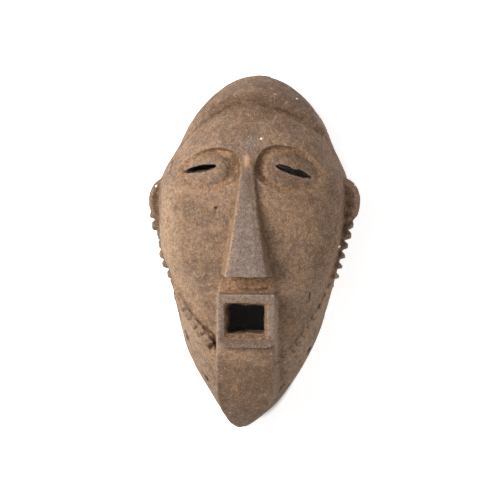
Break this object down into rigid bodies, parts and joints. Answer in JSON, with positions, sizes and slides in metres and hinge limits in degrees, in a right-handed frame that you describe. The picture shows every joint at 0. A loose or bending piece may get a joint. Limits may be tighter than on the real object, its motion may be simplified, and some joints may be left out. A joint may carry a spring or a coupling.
{
  "type": "carved wooden face mask",
  "caption": "Long carved wooden face mask, hollow behind, with slit eyes, a wedge nose, a square open mouth, a pointed chin and a toothed beard band.",
  "frame": {"origin": "on the ground under the middle of the mask, which lies face up on its flat back rim", "axes": "+Z the way the face looks, +Y to the crown, +X to the viewer's right"},
  "size_m": [0.2396, 0.4066, 0.1378],
  "materials": {
    "weathered_wood": "dry matt brown patina with ochre dust in the hollows and a dull polish on the high points"
  },
  "bodies": {
    "root": {"mask": "weathered_wood"}
  },
  "joints": []
}
